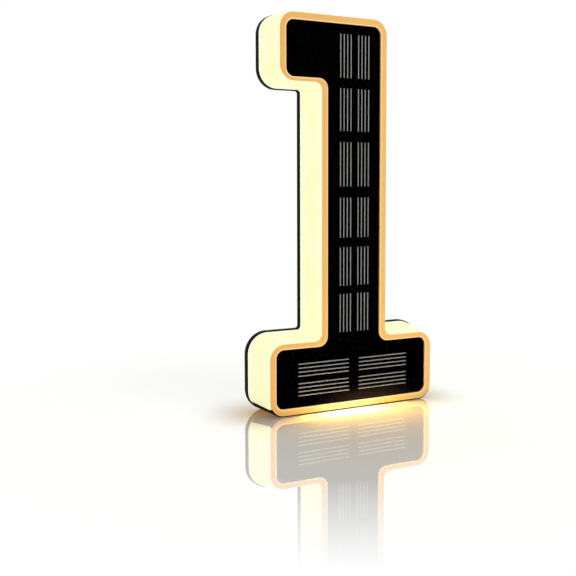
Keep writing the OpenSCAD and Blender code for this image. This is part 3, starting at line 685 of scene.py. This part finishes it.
# Spring steel, nickel plated: warm bright grey
nickel_plate = finish(
    "nickel_plated_steel", ("#C2C1BC", "#D2D1CC"), {"Roughness": 0.22, "Metallic": 1.0},
    patch=2, grain=0.25, relief=0.002,
)
# PVC insulation, extruded: even red with a soft shine
red_pvc = finish(
    "red_pvc_insulation", ("#A81C1A", "#BE2522"), {"Roughness": 0.4, "IOR": 1.54},
    patch=4, grain=0.25, relief=0.006,
)
# Zinc plated steel, cold headed: cool grey, slightly cloudy
zinc_plate = finish(
    "zinc_plated_steel", ("#A3A6AB", "#BEC1C6"), {"Roughness": 0.3, "Metallic": 1.0},
    patch=1.5, grain=0.15, relief=0.004,
)


def front_rim():
    """Amber rim: a flat face, a bevelled inner edge and a round outer edge that glows as the wall does."""
    face, bevel, side, shadow_slot = 0, 1, 2, 3
    inner = [(RIM_W, RIM_BACK), (RIM_W, WINDOW_FRONT + BEVEL_EASE),
             (RIM_W - BEVEL_EASE, WINDOW_FRONT - BEVEL_EASE / 2),
             (RIM_W - BEVEL_W + BEVEL_EASE, BEVEL_EASE / 2), (RIM_W - BEVEL_W - BEVEL_EASE, 0.0)]
    outer = [(RIM_ROUND * (1 - math.sin(a)), RIM_ROUND * (1 - math.cos(a))) for a in quarter(RIM_STEPS)]
    outer += [(0.0, RIM_BACK)]
    section = [(i, d, 1) for i, d in inner] + [(i, d, 0) for i, d in outer]
    paints = [bevel] * 4 + [face] * (1 + AMBER_STEPS) + [side] * (RIM_STEPS - AMBER_STEPS + 1) + [face]
    bm = bmesh.new()
    swept(bm, section, paints)
    rim = solid(bm, "amber_rim")
    # Painted contact shadow along the rim's lower edge
    paint_contact_shadow(rim, shadow_slot)
    dress(rim, [amber, amber_bevel_highlight, opal, painted_shadow_finish], ["front_bezel"])


def posts():
    """Places of the cover posts: at seven corners, and two part way up the stem."""
    out = CORNER_R * POST_OUT_SHARE
    foot = FOOT_W / 2 - CORNER_R
    stem = STEM_W / 2
    flag = stem + FLAG_REACH - CORNER_R
    under = SIGN_H - FLAG_H
    middle = FOOT_H + (under - FOOT_H) * MID_POST_SHARE
    return [
        (-foot - out, CORNER_R - out), (foot + out, CORNER_R - out),
        (foot + out, FOOT_H - CORNER_R + out), (-foot - out, FOOT_H - CORNER_R + out),
        (stem - CORNER_R + out, SIGN_H - CORNER_R + out), (-flag - out, SIGN_H - CORNER_R + out),
        (-flag - out, under + CORNER_R - out),
        (stem - POST_IN, middle), (-stem + POST_IN, middle),
    ]


def side_wall():
    """Lit side wall: it leans out to the wall and has a ledge for the panel and posts for the screws."""
    ledge_in = RIM_W + WALL_T
    ledge_back = BOARD_BACK + LEDGE_T
    section = [(0, RIM_BACK), (0, WALL_BACK - WALL_EASE), (WALL_EASE, WALL_BACK), (WALL_T, WALL_BACK),
               (WALL_T, ledge_back), (ledge_in, ledge_back), (ledge_in, BOARD_BACK),
               (WALL_T, BOARD_BACK), (WALL_T, RIM_BACK)]
    bm = bmesh.new()
    swept(bm, [(i, d, 0) for i, d in section])
    wall = solid(bm, "side_wall")
    bm = bmesh.new()
    for x, z in posts():
        turned(bm, x, z, [(ledge_back - LEDGE_T / 2, POST_R), (PLATE_FRONT, POST_R)])
    carve(wall, solid(bm, "posts"), "UNION")
    bm = bmesh.new()
    for x, z in posts():
        turned(
            bm, x, z, [(ledge_back + BORE_START, POST_BORE_R), (PLATE_FRONT + OVERRUN, POST_BORE_R)],
            POST_BORE_STEPS,
        )
    carve(wall, solid(bm, "bores"), "DIFFERENCE")
    # Painted contact shadow along the wall's lower edge
    paint_contact_shadow(wall, 1)
    dress(wall, [opal, painted_shadow_finish], ["diffuser_shell"])


def light_seal():
    """Clear seal between the side wall and the back plate, with a soft outer edge."""
    section = [(SEAL_IN + SEAL_EASE, WALL_BACK), (SEAL_IN, WALL_BACK + SEAL_EASE),
               (SEAL_IN, PLATE_FRONT - SEAL_EASE), (SEAL_IN + SEAL_EASE, PLATE_FRONT),
               (WALL_T, PLATE_FRONT), (WALL_T, WALL_BACK)]
    bm = bmesh.new()
    swept(bm, [(i, d, 0) for i, d in section])
    dress(solid(bm, "light_seal"), [clear_silicone], ["rim_seal"])


def keyhole(x, z, grow):
    """Outline of a keyhole: a round entry with a slot that runs up from it."""
    r = KEY_R + grow
    s = KEY_SLOT_W / 2 + grow
    meet = math.degrees(math.asin(s / r))
    return arc(x, z, r, 90 + meet, 450 - meet) + arc(x, z + KEY_TRAVEL, s, 0, 180)


def plate_bosses(bm):
    """Pockets behind the keyholes and posts for the control board."""
    wide = 2 * (KEY_POCKET_R + KEY_WALL)
    for x, z in KEYS:
        boxed(bm, x, z + KEY_TRAVEL / 2, wide, KEY_TRAVEL + wide,
              PLATE_FRONT - KEY_POCKET - KEY_WALL, PLATE_FRONT + OVERRUN)
    for x, z in BOARD_POSTS:
        turned(bm, x, z, [(CONTROL_BACK, BOARD_POST_R), (PLATE_FRONT + OVERRUN, BOARD_POST_R)])


def plate_openings(bm):
    """Keyholes, sunk screw seats and the button's hole in its finger dish, all with eased edges."""
    past = SIGN_DEPTH + OVERRUN
    start = PLATE_FRONT - OVERRUN
    for x, z in KEYS:
        skin(bm, [at_depth(keyhole(x, z, g), d) for g, d in (
            (0, start), (0, SIGN_DEPTH - CHAMFER), (CHAMFER, SIGN_DEPTH), (CHAMFER, past))])
    seat = SIGN_DEPTH - COUNTERBORE
    for x, z in posts():
        turned(bm, x, z, [
            (start, PLATE_HOLE_R), (seat, PLATE_HOLE_R), (seat, COUNTERBORE_R),
            (SIGN_DEPTH - CHAMFER, COUNTERBORE_R), (SIGN_DEPTH, COUNTERBORE_R + CHAMFER),
            (past, COUNTERBORE_R + CHAMFER)])
    hole = BUTTON_R + BUTTON_GAP
    flat = hole + FINGER_FLAT
    floor = SIGN_DEPTH - FINGER_DEPTH
    dish = [(SIGN_DEPTH - FINGER_DEPTH * math.cos(a), flat + (FINGER_R - flat) * math.sin(a))
            for a in quarter(PLATE_STEPS)[1:-1]]
    turned(bm, 0, BUTTON_Z, [
        (start, hole), (floor, hole), (floor, flat), *dish, (SIGN_DEPTH - CHAMFER / 2, FINGER_R),
        (SIGN_DEPTH, FINGER_R + CHAMFER), (past, FINGER_R + CHAMFER)])


def back_cover():
    """Black back plate with a rounded rear edge, keyholes, screw seats and a finger dish."""
    edge = [(PLATE_ROUND * (1 - math.cos(a)), SIGN_DEPTH - PLATE_ROUND * (1 - math.sin(a)))
            for a in quarter(PLATE_STEPS)]
    bm = bmesh.new()
    skin(bm, [at_depth(outline(i, SIGN_DEPTH), d) for i, d in [(0, PLATE_FRONT)] + edge])
    plate = solid(bm, "back_cover")
    bm = bmesh.new()
    plate_bosses(bm)
    carve(plate, solid(bm, "bosses"), "UNION")
    bm = bmesh.new()
    plate_openings(bm)
    carve(plate, solid(bm, "openings"), "DIFFERENCE")
    bm = bmesh.new()
    for x, z in KEYS:
        boxed(bm, x, z + KEY_TRAVEL / 2, 2 * KEY_POCKET_R, KEY_TRAVEL + 2 * KEY_POCKET_R,
              PLATE_FRONT - KEY_POCKET, PLATE_FRONT)
    carve(plate, solid(bm, "pockets"), "DIFFERENCE")
    dress(plate, [black_abs], ["back_plate"])


def panel_film():
    """Clear film over the cells, its outer edge eased."""
    inset = RIM_W + WINDOW_GAP
    bm = bmesh.new()
    skin(bm, [at_depth(outline(i, RIM_BACK, 1), d) for i, d in (
        (inset, FILM_BACK), (inset, WINDOW_FRONT + FILM_EASE), (inset + FILM_EASE, WINDOW_FRONT))])
    dress(solid(bm, "panel_film"), [film], ["panel_window"])


def cross(x, z, reach, width):
    """Outline of a plus sign."""
    r, w = reach / 2, width / 2
    corners = [
        (r, -w), (r, w), (w, w), (w, r), (-w, r), (-w, w),
        (-r, w), (-r, -w), (-w, -w), (-w, -r), (w, -r), (w, -w),
    ]
    return [(x + a, z + b) for a, b in corners]


def cover_screws():
    """Nine pan-head screws with a cross recess, a rounded head and a tapered thread."""
    seat = SIGN_DEPTH - COUNTERBORE
    tip = seat - SCREW_LEN
    turns = int((SCREW_LEN - TIP_LEN) / THREAD_PITCH)
    thread = [(tip, SCREW_CORE_R * TIP_R_SHARE), (tip + TIP_LEN, SCREW_CORE_R)]
    for k in range(turns):
        root = tip + TIP_LEN + k * THREAD_PITCH
        thread += [(root + THREAD_PITCH / 2, SCREW_R)]
        thread += [(root + THREAD_PITCH * THREAD_FLANK_SHARE, SCREW_CORE_R)]
    band = seat + SCREW_HEAD_T * HEAD_BAND_SHARE
    rise = SCREW_HEAD_T * (1 - HEAD_BAND_SHARE)
    shrink = SCREW_HEAD_R * HEAD_CROWN_SHARE
    head = [(seat, SCREW_HEAD_R * HEAD_FOOT_SHARE), (band, SCREW_HEAD_R)]
    head += [(band + rise * math.sin(a), SCREW_HEAD_R - shrink * (1 - math.cos(a)))
             for a in quarter(PLATE_STEPS)[1:]]
    bm = bmesh.new()
    for x, z in posts():
        turned(bm, x, z, thread + [(seat, SCREW_CORE_R)] + head, SCREW_STEPS)
    screws = solid(bm, "cover_screw_set")
    top = seat + SCREW_HEAD_T
    bm = bmesh.new()
    for x, z in posts():
        end = cross(x, z, CROSS_LEN * CROSS_END_LEN_SHARE, CROSS_W * CROSS_END_W_SHARE)
        mouth = cross(x, z, CROSS_LEN, CROSS_W)
        skin(bm, [at_depth(end, top - CROSS_DEPTH), at_depth(mouth, top + OVERRUN)])
    carve(screws, solid(bm, "recesses"), "DIFFERENCE")
    dress(screws, [zinc_plate], ["cover_screws"])


def mode_button():
    """Rubber cap: a flange inside the plate and a rounded, dished top with a ring for the fingertip."""
    top = [(CAP_REAR - BUTTON_ROUND * (1 - math.sin(a)), BUTTON_R - BUTTON_ROUND * (1 - math.cos(a)))
           for a in quarter(PLATE_STEPS)]
    ring = [(CAP_REAR - RING_CREST, RING_R + RING_FALL), (CAP_REAR - RING_GROOVE, RING_R + RING_SIDE),
            (CAP_REAR - RING_GROOVE, RING_R), (CAP_REAR - RING_LIP, RING_R - RING_SIDE)]
    dish = [(CAP_REAR - BUTTON_DISH * math.cos(math.pi / 2 * r / RING_R), r) for r in DISH_RADII]
    flange_rear = FLANGE_FRONT + FLANGE_T
    flange = [(FLANGE_FRONT, FLANGE_R - FLANGE_EASE), (FLANGE_FRONT + FLANGE_EASE, FLANGE_R),
              (flange_rear - FLANGE_EASE, FLANGE_R), (flange_rear, FLANGE_R - FLANGE_EASE)]
    bm = bmesh.new()
    turned(bm, 0, BUTTON_Z, [*flange, (flange_rear, BUTTON_R), *top, *ring, *dish], BUTTON_STEPS)
    dress(solid(bm, "mode_button_cap"), [black_silicone], ["button_cap"], "mode_button")


def return_spring():
    """Coil between the switch and the button's flange, built at one length on a mesh of its own; the real
    coil shortens as the button goes in.
    """
    length = COIL_REAR - COIL_FRONT
    steps = COIL_TURNS * COIL_STEPS
    climb = (length - 2 * COIL_WIRE_R) / steps
    back = Vector((0, 1, 0))
    spokes = [2 * math.pi * k / WIRE_STEPS for k in range(WIRE_STEPS)]
    rings = []
    for i in range(steps + 1):
        turn = 2 * math.pi * i / COIL_STEPS
        out = Vector((math.cos(turn), 0, math.sin(turn)))
        depth = COIL_FRONT + COIL_WIRE_R + climb * i
        centre = out * COIL_R * MM + Vector((0, front_y + depth * MM, BUTTON_Z * MM))
        rings.append([centre + (out * math.cos(b) + back * math.sin(b)) * COIL_WIRE_R * MM for b in spokes])
    bm = bmesh.new()
    skin(bm, rings)
    spring = solid(bm, "return_spring")
    dress(spring, [music_wire], ["button_spring"])
    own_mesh(spring)


front_rim()
side_wall()
light_seal()
back_cover()
panel_film()
cover_screws()
mode_button()
return_spring()
coat(black_mask, "panel_board")
coat(upright_silicon, *[f"stem_cell_{i}" for i in STEM_CELLS])
coat(lying_silicon, "foot_cell_left", "foot_cell_right")
coat(tinned_ribbon, "foot_busbars_left", "foot_busbars_right", *[f"stem_busbars_{i}" for i in STEM_CELLS])
coat(white_film, "reflector_sheet")
coat(white_mask, "stem_led_strip", "flag_led_strip", "foot_led_strip")
coat(phosphor, "stem_leds", "flag_leds", "foot_leds")
coat(green_mask, "control_board")
coat(moulded_epoxy, "charge_chip")
coat(ferrite, "boost_inductor")
coat(drawn_aluminium, "board_capacitors")
coat(fired_ceramic, "board_resistors")
coat(moulded_nylon, "switch_body")
coat(moulded_acetal, "switch_plunger")
coat(black_abs, "battery_holder")
coat(shrink_sleeve, "battery_cell")
coat(nickel_plate, "battery_contact", "battery_spring")
coat(red_pvc, "battery_leads", "panel_leads", "stem_led_leads", "flag_led_leads", "foot_led_leads")
coat(zinc_plate, "board_screws")


def seen_rays(tree):
    """1 for rays that see a surface straight, in a mirror or through a clear piece, and 0 for lit ones."""
    paths = add(tree, "ShaderNodeLightPath").outputs
    direct = add(
        tree, "ShaderNodeMath", links={0: paths["Is Camera Ray"], 1: paths["Is Glossy Ray"]},
        operation="MAXIMUM",
    ).outputs["Value"]
    return add(
        tree, "ShaderNodeMath", links={0: direct, 1: paths["Is Transmission Ray"]}, operation="MAXIMUM",
    ).outputs["Value"]


def floor_tones(tree, place):
    """Colour of the floor, and the colour and level of its own light, with a painted shadow that turns the
    colour brown and a painted warm glow that lifts the light at the foot's ends.
    """
    shifted = add(tree, "ShaderNodeVectorMath", {1: SHADE_SHIFT}, {0: place}, operation="ADD")
    folded = add(tree, "ShaderNodeVectorMath", links={0: shifted.outputs["Vector"]}, operation="ABSOLUTE")
    from_end = add(
        tree, "ShaderNodeVectorMath", {1: FOOT_END}, {0: folded.outputs["Vector"]}, operation="DISTANCE",
    ).outputs["Value"]
    near_end = add(
        tree, "ShaderNodeMapRange",
        {"From Min": 0.0, "From Max": SHADE_REACH, "To Min": 1.0, "To Max": 0.0}, {"Value": from_end},
    ).outputs["Result"]
    shade = add(tree, "ShaderNodeMath", {1: SHADE_FALL}, {0: near_end}, operation="POWER").outputs["Value"]
    warm = add(tree, "ShaderNodeMath", {1: PAINTED_GLOW_FALL}, {0: near_end}, operation="POWER").outputs["Value"]
    # Painted shadow: the floor's colour turns brown near the foot's ends
    tone = add(
        tree, "ShaderNodeMix", {"A": linear("#FFFFFC"), "B": linear("#A08644")},
        {"Factor": shade}, data_type="RGBA",
    ).outputs["Result"]
    # Painted warm glow: the floor's own light turns orange and stronger near the foot's ends
    glow = add(
        tree, "ShaderNodeMix", {"A": linear("#FFFFF4"), "B": linear("#FFAC5C")},
        {"Factor": shade}, data_type="RGBA",
    ).outputs["Result"]
    level = add(
        tree, "ShaderNodeMath", {1: PAINTED_GLOW_LIFT, 2: FLOOR_LIFT}, {0: warm}, operation="MULTIPLY_ADD",
    ).outputs["Value"]
    return tone, glow, level


def stage():
    """Pale polished floor under a white studio, mirroring less with distance until it is plain white."""
    bm = bmesh.new()
    bmesh.ops.create_circle(bm, cap_ends=True, radius=FLOOR_R, segments=FLOOR_STEPS)
    floor = solid(bm, "floor")
    material, tree, place = blank("polished_pale_floor")
    away = add(tree, "ShaderNodeVectorMath", links={0: place}, operation="LENGTH").outputs["Value"]
    fade = add(
        tree, "ShaderNodeMapRange", {"From Min": FADE_NEAR, "From Max": FADE_FAR}, {"Value": away},
    ).outputs["Result"]
    polish = add(
        tree, "ShaderNodeMapRange",
        {"From Min": POLISH_START, "From Max": POLISH_END, "To Min": POLISH_NEAR, "To Max": POLISH_FAR},
        {"Value": away},
    ).outputs["Result"]
    tone, glow, level = floor_tones(tree, place)
    matt = add(tree, "ShaderNodeBsdfDiffuse", links={"Color": tone})
    mirror = add(tree, "ShaderNodeBsdfGlossy", {"Roughness": FLOOR_ROUGHNESS}, {"Color": tone})
    polished = add(tree, "ShaderNodeMixShader", links={0: polish, 1: matt.outputs[0], 2: mirror.outputs[0]})
    lift = add(tree, "ShaderNodeEmission", links={"Color": glow, "Strength": level})
    near = add(tree, "ShaderNodeAddShader", links={0: polished.outputs[0], 1: lift.outputs[0]})
    white = add(tree, "ShaderNodeEmission", {"Color": linear("#FFFFFF"), "Strength": 1.0})
    clear = add(
        tree, "ShaderNodeMath", links={0: seen_rays(tree), 1: fade}, operation="MULTIPLY",
    ).outputs["Value"]
    surface = add(tree, "ShaderNodeMixShader", links={0: clear, 1: near.outputs[0], 2: white.outputs[0]})
    add(tree, "ShaderNodeOutputMaterial", links={"Surface": surface.outputs[0]})
    floor.data.materials.append(material)


def strip_light(name, place, size, tilt, colour, watts):
    """A small unseen lamp just in front of the foot, for the light that the foot throws on the floor."""
    lamp = bpy.data.lights.new(name, "AREA")
    lamp.shape = "RECTANGLE"
    lamp.size, lamp.size_y = size
    lamp.color = colour
    lamp.energy = watts
    strip = bpy.data.objects.new(name, lamp)
    strip.location = Vector(place) + Vector((0, front_y, 0))
    strip.rotation_euler = (math.radians(tilt), 0, 0)
    strip.visible_camera = False
    strip.visible_glossy = False
    bpy.context.scene.collection.objects.link(strip)


def studio_light():
    """White surroundings and one large soft lamp, at a level where a colour renders as it is written."""
    world = bpy.data.worlds.new("white_studio")
    bpy.context.scene.world = world
    world.use_nodes = True
    tree = world.node_tree
    tree.nodes.clear()
    soft = add(tree, "ShaderNodeBackground", {"Color": linear("#FFFFFF"), "Strength": WORLD_LEVEL})
    white = add(tree, "ShaderNodeBackground", {"Color": linear("#FFFFFF"), "Strength": 1.0})
    both = add(
        tree, "ShaderNodeMixShader", links={0: seen_rays(tree), 1: soft.outputs[0], 2: white.outputs[0]},
    )
    add(tree, "ShaderNodeOutputWorld", links={"Surface": both.outputs[0]})
    lamp = bpy.data.lights.new("key_light", "AREA")
    lamp.size = KEY_SIZE
    lamp.energy = KEY_WATTS
    key = bpy.data.objects.new("key_light", lamp)
    key.location = KEY_PLACE
    aim = Vector(KEY_AIM) - key.location
    key.rotation_euler = aim.to_track_quat("-Z", "Y").to_euler()
    key.visible_glossy = False
    bpy.context.scene.collection.objects.link(key)
    strip_light("foot_glow", GLOW_PLACE, (GLOW_W, GLOW_DEPTH), GLOW_TILT, GLOW_COLOUR, GLOW_WATTS)
    strip_light("foot_spill", SPILL_PLACE, (SPILL_W, SPILL_H), SPILL_TILT, SPILL_COLOUR, SPILL_WATTS)


def camera():
    """The photograph's view, fitted to the outlines of the figure."""
    yaw, pitch, roll = (math.radians(a) for a in (YAW, PITCH, ROLL))
    ahead = Vector((math.sin(yaw) * math.cos(pitch), math.cos(yaw) * math.cos(pitch), -math.sin(pitch)))
    level = Vector((math.cos(yaw), -math.sin(yaw), 0))
    up = level.cross(ahead)
    right = level * math.cos(roll) + up * math.sin(roll)
    top = up * math.cos(roll) - level * math.sin(roll)
    data = bpy.data.cameras.new("camera")
    data.sensor_width = SENSOR
    data.lens = data.sensor_width * FOCAL_PIXELS / FRAME_PIXELS
    data.shift_y = (CENTRE_PIXEL_Y - FRAME_PIXELS / 2) / FRAME_PIXELS
    data.clip_start = NEAR_CLIP
    eye = bpy.data.objects.new("camera", data)
    eye.matrix_world = Matrix((
        (right.x, top.x, -ahead.x, EYE[0] * MM),
        (right.y, top.y, -ahead.y, EYE[1] * MM),
        (right.z, top.z, -ahead.z, EYE[2] * MM),
        (0, 0, 0, 1),
    ))
    bpy.context.scene.collection.objects.link(eye)
    bpy.context.scene.camera = eye


stage()
studio_light()
camera()
bpy.context.scene.view_settings.view_transform = "Standard"
